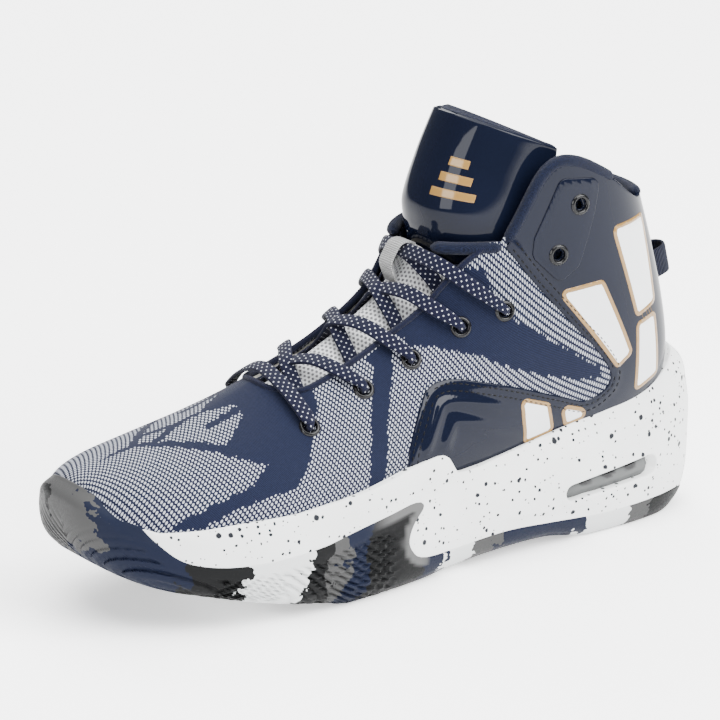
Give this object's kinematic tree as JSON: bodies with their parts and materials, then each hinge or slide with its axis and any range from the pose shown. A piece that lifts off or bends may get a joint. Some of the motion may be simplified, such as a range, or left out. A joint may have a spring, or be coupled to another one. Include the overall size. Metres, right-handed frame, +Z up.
{
  "type": "basketball shoe",
  "caption": "High-top lace-up basketball shoe for the left foot with a padded tongue shield, ankle flaps, a heel air window and a rubber cup outsole.",
  "frame": {"origin": "on the ground plane under the middle of the shoe's bounding box", "axes": "+X towards the toe, +Y towards the outer (lateral) side of this left shoe, +Z up"},
  "size_m": [0.3107, 0.1042, 0.188],
  "materials": {
    "outsole_rubber": "matte",
    "midsole_foam": "matte",
    "air_unit": "gloss",
    "board": "matte",
    "knit": "woven",
    "patent": "gloss",
    "stiffener": "matte",
    "padding_foam": "soft",
    "lining": "woven",
    "collar_textile": "woven",
    "print_white": "satin",
    "print_gold": "satin",
    "eyelet": "gloss",
    "lace": "woven",
    "aglet": "gloss",
    "mesh": "woven",
    "webbing_grey": "ribbed",
    "sock_cloth": "woven",
    "webbing_navy": "ribbed"
  },
  "bodies": {
    "shoe": {"outsole": "outsole_rubber", "midsole": "midsole_foam", "air_cushion": "air_unit", "strobel_board": "board", "knit_upper": "knit", "patent_panel_lateral": "patent", "patent_panel_medial": "patent", "toe_puff": "stiffener", "eyestay_backing": "stiffener", "vamp_padding": "padding_foam", "heel_counter": "stiffener", "collar_foam": "padding_foam", "vamp_lining": "lining", "collar_lining": "collar_textile", "collar_binding": "collar_textile", "backstay": "patent", "ankle_patch_lateral": "patent", "ankle_patch_medial": "patent", "throat_binding": "collar_textile", "motif_lateral": "print_white", "motif_medial": "print_white", "motif_outline_lateral": "print_gold", "motif_outline_medial": "print_gold", "lace_eyelets": "eyelet", "ankle_eyelets": "eyelet", "lace": "lace", "aglets": "aglet", "tongue_mesh": "mesh", "tongue_mesh_foam": "padding_foam", "tongue_mesh_lining": "lining", "lace_loop": "webbing_grey"},
    "tongue": {"tongue_shield": "patent", "shield_foam": "padding_foam", "shield_lining": "collar_textile", "shield_motif": "print_gold"},
    "sockliner": {"sockliner_foam": "padding_foam", "sockliner_cover": "sock_cloth"},
    "pull_tab": {"pull_tab": "webbing_navy"}
  },
  "joints": [
    {"name": "tongue_tilt", "type": "hinge", "parent": "shoe", "child": "tongue", "pos_m": [-0.021, -0.00295, 0.131], "axis": [0, 1, 0], "range_deg": [-4, 10]},
    {"name": "sockliner_lift", "type": "hinge", "parent": "shoe", "child": "sockliner", "pos_m": [0.1464, -0.00295, 0.0505], "axis": [0, 1, 0], "range_deg": [0, 6]},
    {"name": "pull_tab_swing", "type": "hinge", "parent": "shoe", "child": "pull_tab", "pos_m": [-0.1364, -0.00295, 0.104], "axis": [0, 1, 0], "range_deg": [-8, 8]}
  ]
}
